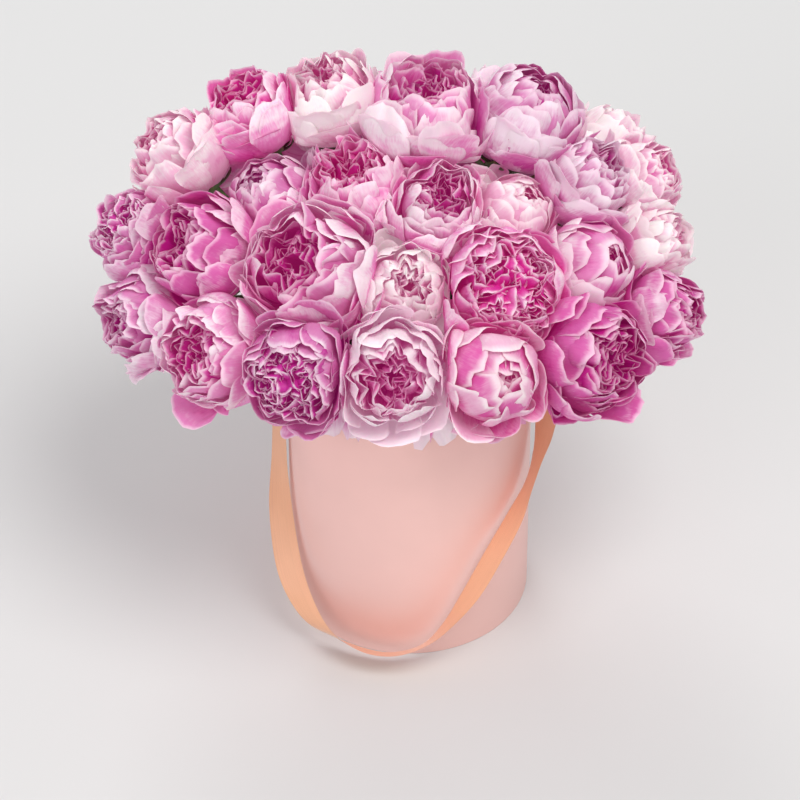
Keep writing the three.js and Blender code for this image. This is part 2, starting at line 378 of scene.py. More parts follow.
class Grid:
    """The faces of a thin closed shell that is rows by columns; its two skins share their border."""

    def __init__(self, rows, columns, thickness):
        self.rows = rows
        self.columns = columns
        self.thickness = thickness
        front = np.arange(rows * columns).reshape(rows, columns)
        back = front.copy()
        inside = (rows - 2) * (columns - 2)
        back[1:-1, 1:-1] = rows * columns + np.arange(inside).reshape(rows - 2, columns - 2)
        self.border = np.ones(rows * columns + inside, bool)
        self.border[front[1:-1, 1:-1].ravel()] = False
        self.border[rows * columns:] = False
        self.quads = np.concatenate([self.faces(front), self.faces(back)[:, ::-1]])

    @staticmethod
    def faces(index):
        corners = [index[:-1, :-1], index[:-1, 1:], index[1:, 1:], index[1:, :-1]]
        return np.stack([corner.ravel() for corner in corners], 1)

    def both_skins(self, front, back):
        """Joins a value for each point of the front with the back's own inner points."""
        kind = front.shape[2:]
        return np.concatenate([front.reshape(-1, *kind), back[1:-1, 1:-1].reshape(-1, *kind)])

    def thicken(self, sheet):
        """The shell's points: half the thickness to each side of the sheet, and none at the border."""
        outward = np.cross(np.gradient(sheet, axis=1), np.gradient(sheet, axis=0))
        outward /= norm(outward, axis=2, keepdims=True) + 1e-12
        half = np.zeros((self.rows, self.columns, 1))
        half[1:-1, 1:-1] = self.thickness / 2
        return self.both_skins(sheet + outward * half, sheet - outward * half)


class Heap:
    """Shells of one flower gathered into one mesh, with the random numbers that shape them."""

    def __init__(self, flower, purpose):
        self.flower = flower
        self.rng = seeded(flower.name, purpose)
        self.points = []
        self.quads = []
        self.sharp = []
        self.layers = {}
        self.total = 0

    def add(self, points, quads, sharp, **layers):
        self.points.append(points)
        self.quads.append(quads + self.total)
        self.sharp.append(sharp)
        for name, values in layers.items():
            self.layers.setdefault(name, []).append(values)
        self.total += len(points)

    def build(self, name, material):
        layers = {layer: np.concatenate(values) for layer, values in self.layers.items()}
        points, quads, sharp = (np.concatenate(part) for part in (self.points, self.quads, self.sharp))
        shown = mesh_object(name, points, quads, layers, sharp)
        shown.data.materials.append(material)
        return shown


def unit(vector):
    return vector / norm(vector)


def bezier(points, along):
    """Points and slopes of a cubic curve at an array of places along it."""
    t = along[..., None]
    s = 1 - t
    a, b, c, d = points
    place = s**3 * a + 3 * s * s * t * b + 3 * s * t * t * c + t**3 * d
    slope = 3 * s * s * (b - a) + 6 * s * t * (c - b) + 3 * t * t * (d - c)
    return place, slope


def catmull_rom(points, places):
    """Points of a smooth curve through all the given ones; places run from 0 to the last one's number."""
    points = np.asarray(points, float)
    padded = np.concatenate([2 * points[:1] - points[1:2], points, 2 * points[-1:] - points[-2:-1]])
    start = np.clip(np.floor(places).astype(int), 0, len(points) - 2)
    t = (places - start)[:, None]
    a, b, c, d = (padded[start + offset] for offset in range(4))
    return 0.5 * (2 * b + (c - a) * t + (2 * a - 5 * b + 4 * c - d) * t**2 + (3 * b - a - 3 * c + d) * t**3)


def waves(rng, x, lowest, highest, count=4):
    """A smooth random curve of about unit height, made of a few sines."""
    total = np.zeros_like(x)
    for _ in range(count):
        total += np.sin(x * rng.uniform(lowest, highest) + rng.uniform(0, math.tau))
    return total / math.sqrt(count)


def vectors(*parts):
    """Arrays and numbers side by side, as one array of vectors."""
    return np.stack(np.broadcast_arrays(*parts), -1)


# Each purpose draws its own random numbers.
FOLD_DRAWS = 5
PETAL_DRAWS = 7
GREEN_DRAWS = 11


def seeded(name, purpose):
    """Random numbers that are always the same for one flower and one purpose."""
    return np.random.default_rng([purpose, *[ord(letter) for letter in name]])


def smooth(x):
    x = np.clip(x, 0, 1)
    return x * x * (3 - 2 * x)


# --- Petals and sepals ---


class Cut(NamedTuple):
    """How one petal is cut and shaped; lengths are shares of its whorl's radius."""

    width: float
    cupping: float
    ruffle: float
    curl: float
    notches: int = 2
    scallops: float = 0.015
    flutes: float = 0.03
    pointed: bool = False


PETAL_GRID = Grid(13, 17, 0.5 * MM)
FRILL_GRID = Grid(8, 19, 0.4 * MM)
SEPAL_GRID = Grid(11, 7, 0.6 * MM)
FOLD_LOBES = (3, 11)
FOLD_WAVES = 5
PETAL_SHOULDER = 0.60
PETAL_FOOT = 0.30
PRESS_DEPTH = 13 * MM
PRESS_OVERLAP = 3 * MM
PRESS_SLACK = 3 * MM
WALL_CLEARANCE = 2.5 * MM
BESIDE_WALL = 30 * MM
NEIGHBOUR_REACH = 1.25
FIRMNESS_SHIFT = 2 * MM
GLOBE_SAMPLE = 30 * MM
PALEST = -0.7
TONE_VARIES = 0.40
CROWDED = 0.80
CROWDED_PETALS_KEPT = 0.45


def petal_outline(rng, u, cut):
    """How far up the petal its rim reaches across its width: an arch with shallow ragged notches."""
    reach = PETAL_SHOULDER + (1 - PETAL_SHOULDER) * np.sqrt(np.clip(1 - np.abs(u) ** 2.4, 0, 1))
    for _ in range(cut.notches):
        middle = rng.uniform(-0.75, 0.75)
        reach -= rng.uniform(0.02, 0.09) * np.exp(-(((u - middle) / rng.uniform(0.10, 0.20)) ** 2))
    scallops = np.abs(np.sin(rng.uniform(3.0, 5.5) * u + rng.uniform(0, 3.1)))
    return reach - cut.scallops * (1 - scallops) ** 2 + 0.012 * waves(rng, u, 8, 16)


def petal_width(along, cut):
    if cut.pointed:
        return cut.width * np.sin(math.pi * np.clip(along, 0.02, 0.985) ** 0.8) ** 0.8
    swell = np.sin(math.pi / 2 * np.minimum(1, along / PETAL_SHOULDER))
    return cut.width * (PETAL_FOOT + (1 - PETAL_FOOT) * swell)


def petal_sheet(rng, grid, whorl, spine, side, cut):
    """A sheet that follows the spine and cups round it, and where its points are along and across it."""
    radius = whorl.radius
    u = np.sin(math.pi / 2 * np.linspace(-1, 1, grid.columns))[None, :]
    rows = 1 - (1 - np.linspace(0, 1, grid.rows)[:, None]) ** 1.4
    along = rows * (1.0 if cut.pointed else petal_outline(rng, u, cut)) + 0 * u
    place, slope = bezier(spine, along)
    outward = np.cross(np.broadcast_to(side, slope.shape), slope)
    outward /= norm(outward, axis=2, keepdims=True) + 1e-12
    across = u * petal_width(along, cut) * radius
    bend = cut.cupping * radius
    angle = (across / bend)[..., None]
    tilted = outward * np.cos(angle) + side * np.sin(angle)
    points = place - outward * (1 - np.cos(angle)) * bend + side * np.sin(angle) * bend
    near_rim = smooth((rows - 0.30) / 0.70)
    lift = cut.flutes * waves(rng, u, 2, 6, 2) * smooth(rows * 2)
    folds = whorl.folded(points) + 0.4 * waves(rng, u + 0.2 * rows, 3, 7)
    lift = lift + cut.ruffle * near_rim**1.2 * folds
    lift = lift + 0.20 * cut.ruffle * near_rim**3 * waves(rng, u, 7, 12)
    lift = lift + cut.curl * rows**5 - 0.5 * abs(cut.curl) * np.abs(u) ** 4 * rows
    lift = lift + 0.010 * waves(rng, 3 * u + 5 * rows, 1, 3)
    sideways = 0.35 * cut.ruffle * near_rim**2 * waves(rng, u + rows, 3, 7)
    points += tilted * (lift * radius)[..., None] + side * (sideways * radius)[..., None]
    return points, rows + 0 * u, across, along


def add_petal(heap, grid, whorl, spine, side, cut, slack=0.0):
    """Adds one petal's shell, pressed to its bloom's neighbours, with the layers that its finish reads."""
    flower, rng = heap.flower, heap.rng
    points, rows, across, along = petal_sheet(rng, grid, whorl, spine, side, cut)
    free = points
    points = flower.fit(points, slack + rng.normal(0, PRESS_SLACK))
    length = norm(np.diff(spine, axis=0), axis=1).sum()
    mark = rng.uniform(0, 50)
    tone = max(PALEST, flower.tone + rng.uniform(-TONE_VARIES, TONE_VARIES))
    front = vectors(rows, 0, tone)
    back = vectors(rows, 1, tone)
    front[grid.border[: rows.size].reshape(rows.shape), 1] = 0.5
    grain = vectors(across * 100, along * length * 100, mark)
    # Points pressed back by a neighbour lie in the grooves between blooms. The finish deepens their colour as
    # it does towards the bloom's middle, which in the grooves is painted shade, and gives them more painted
    # glow.
    pushed = norm(points - free, axis=2) / (2 * PRESS_DEPTH)
    sunk = 1 - norm(points - flower.middle, axis=2) / flower.radius
    depth = np.clip(np.maximum(sunk, pushed), 0, 1)
    marks = vectors(depth, flower.guard, flower.fleck)
    heap.add(
        grid.thicken(points),
        grid.quads,
        grid.border,
        petal=grid.both_skins(front, back),
        grain=grid.both_skins(grain, grain),
        bloom=grid.both_skins(marks, marks),
    )


def keep_off_box(points):
    """Moves points that are beside the box out past its wall."""
    flat = norm(points[..., :2], axis=-1, keepdims=True)
    beside = (points[..., 2:] < BOX_HEIGHT + WALL_CLEARANCE) & (flat > BOX_RADIUS - BESIDE_WALL)
    wanted = np.maximum(flat, BOX_RADIUS + WALL_CLEARANCE)
    moved = points.copy()
    moved[..., :2] = np.where(beside, points[..., :2] * wanted / np.maximum(flat, 1e-6), points[..., :2])
    return moved


class Whorl:
    """A middle and a facing line that rings of petals stand round."""

    def __init__(self, rng, middle, facing, radius, squat=SQUAT):
        self.middle = middle
        self.facing = facing
        self.radius = radius
        self.squat = squat
        self.folds = [
            (rng.integers(*FOLD_LOBES), rng.uniform(-4, 4), rng.uniform(-3, 3), rng.uniform(0, math.tau))
            for _ in range(FOLD_WAVES)
        ]
        self.first = unit(np.cross(facing, [0.3, 0.1, 1.0]))
        self.second = np.cross(facing, self.first)

    def radial(self, azimuth):
        return cos(azimuth) * self.first + sin(azimuth) * self.second

    def side(self, azimuth):
        return cos(azimuth) * self.second - sin(azimuth) * self.first

    def azimuth_at(self, hour):
        """The azimuth that points to this hour on a clock face seen from the front."""
        angle = math.radians(30 * hour)
        way = np.array([sin(angle), 0, cos(angle)])
        return math.atan2(way @ self.second, way @ self.first)

    def folded(self, points):
        """How far petals are folded outwards at these points; petals that nest fold together."""
        local = (points - self.middle) / self.radius
        across, over, up = local @ self.first, local @ self.second, local @ self.facing
        out = np.hypot(across, over)
        turn = np.arctan2(over, across)
        total = 0
        for lobes, spiral, slant, start in self.folds:
            total = total + np.sin(lobes * turn + spiral * out + slant * up + start)
        return total / math.sqrt(len(self.folds)) * smooth(out / 0.4)

    def spot(self, azimuth, out, up):
        """A point beside the facing line; the half that faces out is a little flatter than a globe."""
        rise = min(up, up * self.squat)
        return self.middle + self.radius * (out * self.radial(azimuth) + rise * self.facing)


class Flower(Whorl):
    """One cut peony, read from its CAD node: a globe that faces away from the dome's heart."""

    def __init__(self, rng, name, points):
        pole = points[np.argmax(norm(points - HEART, axis=1))]
        facing = unit(pole - HEART)
        gaps = pole - points
        lengths = norm(gaps, axis=1)
        near = (lengths > 1 * MM) & (lengths < GLOBE_SAMPLE)
        globe = float(np.median(lengths[near] ** 2 / (2 * gaps[near] @ facing)))
        super().__init__(rng, pole - facing * globe, facing, globe * BLOOM_SHARE)
        self.name = name
        self.foot = points[points[:, 2] < points[:, 2].min() + 1 * MM].mean(0)
        self.foot[2] = FOAM_TOP
        self.stem_top = self.middle + facing * (STEM_SINK - globe)
        self.presses = []
        self.firmness = sin(97.0 * self.middle[0] + 61.0 * self.middle[1])
        self.guard = 0.0
        self.fleck = 0.0
        self.tone = 0.5

    @property
    def place_name(self):
        return self.name.removeprefix("peony_")

    def lean_on(self, others):
        """Finds the planes where this bloom presses on its neighbours; the firmer bloom keeps more room."""
        for other in others:
            towards = other.middle - self.middle
            distance = norm(towards)
            if other is not self and distance < NEIGHBOUR_REACH * (self.radius + other.radius):
                share = (distance**2 + self.radius**2 - other.radius**2) / (2 * distance)
                share += PRESS_OVERLAP + FIRMNESS_SHIFT * (self.firmness - other.firmness)
                self.presses.append((towards / distance, share))

    def has_room(self, azimuth):
        """Whether no neighbouring bloom stands on this side."""
        return all(self.radial(azimuth) @ towards < CROWDED for towards, _ in self.presses)

    def fit(self, points, slack):
        """Presses points softly back from the neighbouring blooms and keeps them clear of the box."""
        for towards, share in self.presses:
            over = np.maximum((points - self.middle) @ towards - (share + slack - PRESS_DEPTH), 0)
            back = over - PRESS_DEPTH * (1 - np.exp(-over / PRESS_DEPTH))
            points = points - back[..., None] * towards
        return keep_off_box(points)


class Scatter(NamedTuple):
    """How unevenly the petals of a ring stand, and how deep the scallops of their rims are."""

    swirl: float
    turn: float
    rise: float
    scallops: float


FINE = Scatter(0.20, 0.22, 0.07, 0.045)
BROAD = Scatter(0.12, 0.10, 0.05, 0.015)


class Ring(NamedTuple):
    """One ring of petals; lengths are shares of the whorl's radius."""

    count: int
    bulge: float
    tip_out: float
    tip_up: float
    width: float
    ruffle: float
    curl: float
    fine: bool = False


# Each habit lists its rings from the middle of the bloom outwards.
HABITS = {
    "bud": [
        Ring(5, 0.26, 0.04, 0.74, 0.30, 0.08, 0.02, True),
        Ring(5, 0.48, 0.06, 0.90, 0.50, 0.05, 0.02),
        Ring(5, 0.72, 0.09, 0.98, 0.62, 0.03, 0.02),
        Ring(5, 0.90, 0.20, 0.99, 0.70, 0.03, 0.02),
        Ring(5, 0.97, 0.52, 0.84, 0.72, 0.03, 0.03),
        Ring(5, 1.01, 0.88, 0.44, 0.72, 0.03, 0.06),
    ],
    "ball": [
        Ring(6, 0.30, 0.06, 0.76, 0.32, 0.09, 0.02, True),
        Ring(7, 0.50, 0.10, 0.88, 0.42, 0.08, 0.02, True),
        Ring(8, 0.72, 0.16, 0.96, 0.48, 0.05, 0.02),
        Ring(7, 0.86, 0.30, 0.97, 0.54, 0.04, 0.03),
        Ring(6, 0.94, 0.56, 0.80, 0.60, 0.04, 0.04),
        Ring(6, 1.00, 0.86, 0.48, 0.64, 0.04, 0.06),
    ],
    "ruffled": [
        Ring(7, 0.28, 0.10, 0.80, 0.34, 0.13, 0.04, True),
        Ring(9, 0.48, 0.22, 0.90, 0.44, 0.12, 0.06, True),
        Ring(9, 0.66, 0.36, 0.94, 0.46, 0.09, 0.06),
        Ring(8, 0.80, 0.50, 0.90, 0.50, 0.08, 0.07),
        Ring(8, 0.91, 0.72, 0.70, 0.52, 0.06, 0.08),
        Ring(7, 0.99, 0.94, 0.38, 0.58, 0.05, 0.10),
    ],
    "frilled": [
        Ring(6, 0.20, 0.10, 0.80, 0.26, 0.12, 0.05, True),
        Ring(10, 0.62, 0.50, 0.84, 0.40, 0.12, 0.06, True),
        Ring(10, 0.76, 0.62, 0.82, 0.44, 0.10, 0.08, True),
        Ring(9, 0.87, 0.74, 0.68, 0.46, 0.08, 0.08),
        Ring(8, 0.94, 0.88, 0.46, 0.52, 0.06, 0.09),
        Ring(6, 0.99, 1.00, 0.22, 0.62, 0.05, 0.10),
    ],
    "cup": [
        Ring(6, 0.20, 0.12, 0.56, 0.28, 0.14, 0.04, True),
        Ring(8, 0.36, 0.26, 0.64, 0.36, 0.14, 0.05, True),
        Ring(9, 0.52, 0.40, 0.74, 0.42, 0.13, 0.05, True),
        Ring(10, 0.68, 0.52, 0.84, 0.44, 0.11, 0.05, True),
        Ring(8, 0.82, 0.62, 0.88, 0.46, 0.07, 0.05),
        Ring(7, 0.92, 0.78, 0.70, 0.54, 0.05, 0.06),
        Ring(6, 0.99, 0.98, 0.30, 0.62, 0.04, 0.10),
    ],
}

# The small whorls that fill a frilled bloom.
TUFT = [
    Ring(4, 0.30, 0.12, 0.84, 0.44, 0.14, 0.06, True),
    Ring(5, 0.62, 0.34, 0.98, 0.70, 0.15, 0.08, True),
    Ring(5, 0.92, 0.66, 0.98, 0.86, 0.14, 0.10, True),
]
GUARD_RING = Ring(7, 1.05, 1.18, 0.02, 0.66, 0.05, 0.10)
SKIRT_RING = Ring(8, 1.06, 1.18, -0.46, 0.64, 0.06, 0.10)
LOOSE_RING = Ring(5, 1.12, 1.25, 0.36, 0.50, 0.05, 0.08)
LOOSE_SLACK = 6 * MM
FILL_RING = Ring(6, 1.13, 1.42, 0.12, 0.56, 0.07, 0.06)
FILLED_ROWS = ("top", "crown", "back", "rear")

# Big loose petals that stand well out of the bloom, as hours on a clock face seen from the front
STRAY_RING = Ring(1, 1.20, 1.42, 0.16, 0.62, 0.06, 0.08)
STRAY_SLACK = 14 * MM
STRAY_HOURS = {
    "top_3": (9.2,),
    "crown_1": (11.5,),
    "crown_2": (6.6, 10.8, 12.4),
    "crown_3": (11.2, 5.2),
    "crown_4": (8.2, 1.0, 6.4),
    "crown_5": (11.0, 12.3),
    "shoulder_2": (7.0,),
    "shoulder_3": (6.4, 4.7),
    "shoulder_4": (6.0, 11.8),
    "front_2": (6.4,),
    "front_6": (5.3,),
}

# Limp petals that hang over the box's rim below the outer rows, away from the slots; turns are in radians.
DROOPING_ROWS = ("front", "rear")
DROOP_TURNS = (-0.30, -0.12, 0.08, 0.26)
DROOP_CUT = Cut(0.60, 1.1, 0.14, 0.10, notches=3, scallops=0.05)
SLOT_SECTOR = 0.40


class Row(NamedTuple):
    """How a row's flowers have opened, how far they turn (to the front, up), and how deep their tones are; a
    row's own tone is painted shade, deepest in the front row and a little paler in the top row.
    """

    openings: list
    turned: tuple
    tone: float
    bloom_tones: tuple


# A row's tone is painted shade: its blooms' colour is deepened where less light reaches, most in the front
# row.
ROWS = {
    "front": Row(
        ["ruffled", "cup", "frilled", "cup", "bud", "cup", "ruffled"],
        (0.45, 0.15), 0.36, (0, -0.15, 0.20, -1.20, 0.50, 0.50, 0),
    ),
    "shoulder": Row(
        ["frilled", "cup", "cup", "ruffled", "frilled", "bud", "ruffled"],
        (0.35, 0.20), 0.12, (0.25, 0.30, 0, -1.00, 0.20, -0.20, -0.50),
    ),
    "crown": Row(
        ["ruffled", "ball", "cup", "cup", "ball", "ruffled", "ruffled"],
        (0.42, 0.25), 0, (0.40, 0, 0, -0.20, 0, -0.30, 0.60),
    ),
    "top": Row(["cup", "ruffled", "cup", "ball"], (0.55, 0.30), -0.04, (0.60, -0.20, 0.20, -0.20)),
    "back": Row(["frilled", "cup", "ball", "frilled", "ruffled"], (0, 0), 0, (0,) * 5),
    "rear": Row(
        ["cup", "frilled", "ball", "cup", "frilled", "cup", "ball", "frilled"],
        (0, 0), 0.08, (0,) * 8,
    ),
}

# The blooms with dark streaks along their petals.
STREAKED = {"crown_2", "crown_4", "top_4", "shoulder_7", "rear_3", "back_2"}


def droop(heap):
    """Adds the limp petals below a bloom; each bends (past the wall, over the rim), in millimetres."""
    flower, rng = heap.flower, heap.rng
    bearing = math.atan2(flower.middle[1], flower.middle[0])
    for turn in DROOP_TURNS:
        way = bearing + turn + rng.normal(0, 0.05)
        out = np.array([cos(way), sin(way), 0])
        side = np.array([sin(way), -cos(way), 0])
        if abs(out[1]) > SLOT_SECTOR:
            away = rng.uniform(8, 16)
            low = rng.uniform(12, 36)
            bends = [(-30, 10), (-4, 34), (away + 6, 16), (away, -low)]
            spine = [(BOX_RADIUS + past * MM) * out + [0, 0, BOX_HEIGHT + over * MM] for past, over in bends]
            tilt = rng.normal(0, 0.3)
            side = cos(tilt) * side + sin(tilt) * out
            add_petal(heap, PETAL_GRID, flower, np.array(spine), side, DROOP_CUT, STRAY_SLACK)


def spread(rng, count):
    """Azimuths all the way round, a little unevenly."""
    turn = rng.uniform(0, math.tau)
    return [turn + math.tau * (number + rng.normal(0, 0.15)) / count for number in range(count)]


def ring_petals(heap, whorl, ring, azimuths, slack=0.0):
    """Adds a ring's petals at these azimuths round the whorl's facing line."""
    rng = heap.rng
    grid, scatter = (FRILL_GRID, FINE) if ring.fine else (PETAL_GRID, BROAD)
    foot_up = -(0.15 + 0.70 * ring.bulge)
    for azimuth in azimuths:
        swirl = rng.normal(0, scatter.swirl)
        turned = rng.normal(0, scatter.turn)
        bulge = ring.bulge * rng.normal(1, 0.035)
        tip_out = ring.tip_out * rng.normal(1, 0.12) + rng.normal(0, 0.02)
        tip_up = ring.tip_up + rng.normal(0, scatter.rise)
        spine = np.array([
            whorl.spot(azimuth, 0.07, foot_up),
            whorl.spot(azimuth, 1.30 * bulge, foot_up + 0.10),
            whorl.spot(azimuth + swirl / 2, 1.14 * bulge, foot_up + 0.74 * (tip_up - foot_up)),
            whorl.spot(azimuth + swirl, tip_out, tip_up),
        ])
        cut = Cut(
            width=ring.width * rng.uniform(0.85, 1.15),
            cupping=max(0.30, 0.85 * ring.bulge) * rng.uniform(0.85, 1.2),
            ruffle=ring.ruffle * rng.uniform(0.7, 1.3),
            curl=ring.curl * rng.normal(0.6, 0.8),
            notches=int(rng.integers(1, 4)),
            scallops=scatter.scallops,
        )
        side = cos(turned) * whorl.side(azimuth) + sin(turned) * whorl.radial(azimuth)
        add_petal(heap, grid, whorl, spine, side, cut, slack)


def tufts(rng, flower):
    """Places the small whorls of a frilled bloom round its facing line."""
    count = int(rng.integers(3, 5))
    turn = rng.uniform(0, math.tau)
    for number in range(count):
        azimuth = turn + math.tau * (number + rng.normal(0, 0.08)) / count
        middle = flower.spot(azimuth, rng.uniform(0.30, 0.40), rng.uniform(0.30, 0.42))
        facing = unit(flower.facing + rng.uniform(0.3, 0.6) * flower.radial(azimuth))
        yield Whorl(rng, middle, facing, flower.radius * rng.uniform(0.42, 0.50))


def build_bloom(flower, material):
    """The petals of one flower as one piece, which stands for its CAD node."""
    heap = Heap(flower, PETAL_DRAWS)
    rng = heap.rng
    row_name, number = flower.place_name.split("_")
    row = ROWS[row_name]
    place = int(number) - 1
    habit = row.openings[place]
    flower.fleck = float(flower.place_name in STREAKED)
    # row.tone adds the row's painted shade.
    flower.tone = rng.uniform(0.3, 0.7) + row.tone + row.bloom_tones[place]
    forward, up = row.turned
    aside = flower.radial(rng.uniform(0, math.tau)) * rng.uniform(0.05, 0.20)
    facing = unit(flower.facing + (np.array([0, -forward, up]) + aside))
    squat = TOP_SQUAT if row_name == "top" else SQUAT
    heart = Whorl(rng, flower.middle, facing, flower.radius, squat)
    rings = HABITS[habit]
    for number, ring in enumerate(rings):
        flower.guard = number / len(rings)
        ring_petals(heap, heart, ring, spread(rng, ring.count))
    if habit == "frilled":
        flower.guard = 0.0
        for tuft in tufts(rng, heart):
            for ring in TUFT:
                ring_petals(heap, tuft, ring, spread(rng, ring.count))
    flower.guard = 1.0
    for ring in (GUARD_RING, SKIRT_RING):
        azimuths = [
            azimuth for azimuth in spread(rng, ring.count)
            if rng.random() < CROWDED_PETALS_KEPT or flower.has_room(azimuth)
        ]
        ring_petals(heap, flower, ring, azimuths)
    over_box = row_name in DROOPING_ROWS and abs(flower.middle[0]) < BOX_RADIUS
    for ring in (LOOSE_RING, FILL_RING) if row_name in FILLED_ROWS else (LOOSE_RING,):
        azimuths = [
            azimuth for azimuth in spread(rng, ring.count)
            if not over_box or flower.radial(azimuth)[2] > 0
        ]
        ring_petals(heap, flower, ring, azimuths, LOOSE_SLACK)
    azimuths = [flower.azimuth_at(hour) for hour in STRAY_HOURS.get(flower.place_name, ())]
    ring_petals(heap, flower, STRAY_RING, azimuths, STRAY_SLACK)
    if row_name in DROOPING_ROWS:
        droop(heap)
    bloom = heap.build(f"bloom_{flower.place_name}", material)
    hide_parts(flower.name)
    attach(bloom, "root")


def stem_curve(flower):
    """The four points of the stem's bend, from its hole in the foam to the underside of its bloom."""
    top = flower.stem_top
    over_rim = math.hypot(top[0], top[1]) > BOX_RADIUS - 4 * STEM_RADIUS
    rise = flower.foot.copy()
    rise[2] = max(BOX_HEIGHT + STEM_RISE_OVER_RIM, top[2]) if over_rim else (flower.foot[2] + top[2]) / 2
    approach = top - flower.facing * STEM_APPROACH * norm(top - rise)
    if over_rim:
        approach[2] = max(approach[2], BOX_HEIGHT + 2 * STEM_RADIUS)
    return np.array([flower.foot, rise, approach, top])


# The quads that close one end of an eight-sided tube
TUBE_CAP = np.array([[0, 1, 2, 3], [0, 3, 4, 7], [7, 4, 5, 6]])


def tube(points, radii):
    """A closed eight-sided tube through points, as points and quads."""
    points = np.asarray(points, float)
    slopes = np.gradient(points, axis=0)
    slopes /= norm(slopes, axis=1, keepdims=True)
    across = unit(np.cross(slopes[0], [0.37, 0.71, 0.13]))
    rings = []
    angles = np.linspace(0, math.tau, TUBE_SIDES, endpoint=False)
    for point, slope, radius in zip(points, slopes, radii):
        across = unit(across - slope * (across @ slope))
        over = np.cross(slope, across)
        rings.append(point + radius * (np.cos(angles)[:, None] * across + np.sin(angles)[:, None] * over))
    index = np.arange(len(points) * TUBE_SIDES).reshape(len(points), TUBE_SIDES)
    top = TUBE_CAP + index[-1, 0]
    index = np.concatenate([index, index[:, :1]], 1)
    return np.concatenate(rings), np.concatenate([Grid.faces(index), TUBE_CAP[:, ::-1], top])


def build_greens(flower, material):
    """The stem and sepals of one flower as one piece, which also stands for its CAD node."""
    heap = Heap(flower, GREEN_DRAWS)
    rng = heap.rng
    bent = bezier(stem_curve(flower), np.linspace(0, 1, STEM_STEPS))[0]
    route = np.concatenate([[flower.foot - [0, 0, STEM_DEPTH]], bent])
    radii = np.full(len(route), STEM_RADIUS * STEM_SLIMMER)
    radii[-3:] *= RECEPTACLE_SWELLS
    points, quads = tube(route, radii)
    along = np.repeat(np.linspace(0, STEM_ALONG, len(route)), TUBE_SIDES)
    marks = vectors(along, 0, rng.uniform())
    grain = points[:, [0, 2, 1]] * 100
    heap.add(points, quads, np.zeros(len(points), bool), petal=marks, grain=grain, bloom=0 * marks)
    for number in range(SEPALS):
        azimuth = math.tau * (number + rng.normal(0, 0.1)) / SEPALS
        out = rng.uniform(0.45, 0.65)
        bends = [(0.05, -1.02), (0.35, -1.10), (out, -1.02), (out + 0.12, -rng.uniform(0.75, 0.95))]
        spine = np.array([flower.spot(azimuth, *bend) for bend in bends])
        cut = Cut(0.20, 0.6, 0.02, 0.03, notches=0, flutes=0.02, pointed=number % 2 == 0)
        add_petal(heap, SEPAL_GRID, flower, spine, flower.side(azimuth), cut)
    greens = heap.build(f"stem_{flower.place_name}", material)
    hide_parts(flower.name)
    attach(greens, "root")


def read_flowers():
    flowers = []
    for name, node in frame["nodes"].items():
        if name.startswith("peony_"):
            points = np.empty(3 * len(node.data.vertices))
            node.data.vertices.foreach_get("co", points)
            flowers.append(Flower(seeded(name, FOLD_DRAWS), name, points.reshape(-1, 3)))
    flowers.sort(key=lambda flower: flower.name)
    for flower in flowers:
        flower.lean_on(flowers)
    return flowers


# --- Box ---


BASE_FIT = 0.3 * MM
INNER_EASE = 0.4 * MM
OUTER_EASE = 0.8 * MM
TURN_IN = 18 * MM
PAPER_STEP = 0.25 * MM
WALL_SEGMENTS = 192
SLOT_LENGTH = 27 * MM
SLOT_OPENING = 2.6 * MM
SLOT_END_STEPS = 7


def turned(name, outline, segments):
    """A body turned about the upright axis from a closed outline of (radius, height) points."""
    angles = np.linspace(0, math.tau, segments, endpoint=False)
    radius, height = np.asarray(outline, float).T
    out = radius[:, None]
    points = vectors(out * np.sin(angles), -out * np.cos(angles), height[:, None])
    index = np.arange(len(outline) * segments).reshape(len(outline), segments)
    index = np.concatenate([index, index[:, :1]], 1)
    index = np.concatenate([index, index[:1]], 0)
    return mesh_object(name, points.reshape(-1, 3), Grid.faces(index))


def arc(middle, radius, start, end, steps):
    """Points on an arc, as (radius, height) pairs; angles in degrees from outward, turning upward."""
    angles = np.radians(np.linspace(start, end, steps))
    return [(middle[0] + radius * cos(a), middle[1] + radius * sin(a)) for a in angles]


def cut_out(shown, cutter):
    """Cuts one object out of another and removes it."""
    modifier = shown.modifiers.new("cut", "BOOLEAN")
    modifier.operation = "DIFFERENCE"
    modifier.solver = "EXACT"
    modifier.object = cutter
    evaluated = shown.evaluated_get(bpy.context.evaluated_depsgraph_get())
    cut = bpy.data.meshes.new_from_object(evaluated)
    shown.modifiers.clear()
    shown.data = cut
    bpy.data.objects.remove(cutter)


def slot_cutter(width, height):
    """A long bar with round ends that cuts both ribbon slots at once."""
    angles = np.radians(np.linspace(-90, 90, SLOT_END_STEPS))
    y = (width - height) / 2 + height / 2 * np.cos(angles)
    z = height / 2 * np.sin(angles)
    outline = np.stack([np.concatenate([y, -y]), SLOT_HEIGHT + np.concatenate([z, -z])], 1)
    ends = [np.insert(outline, 0, x, axis=1) for x in (-2 * BOX_RADIUS, 2 * BOX_RADIUS)]
    index = np.arange(2 * len(outline)).reshape(2, -1)
    near = np.arange(SLOT_END_STEPS - 1)[:, None]
    far = len(outline) - 1 - near
    cap = np.concatenate([near, near + 1, far - 1, far], 1)
    sides = Grid.faces(np.concatenate([index, index[:, :1]], 1))
    quads = np.concatenate([sides, cap[:, ::-1], cap + len(outline)])
    cutter = mesh_object("slot_cutter", np.concatenate(ends), quads)
    cutter.data.shade_flat()
    return cutter


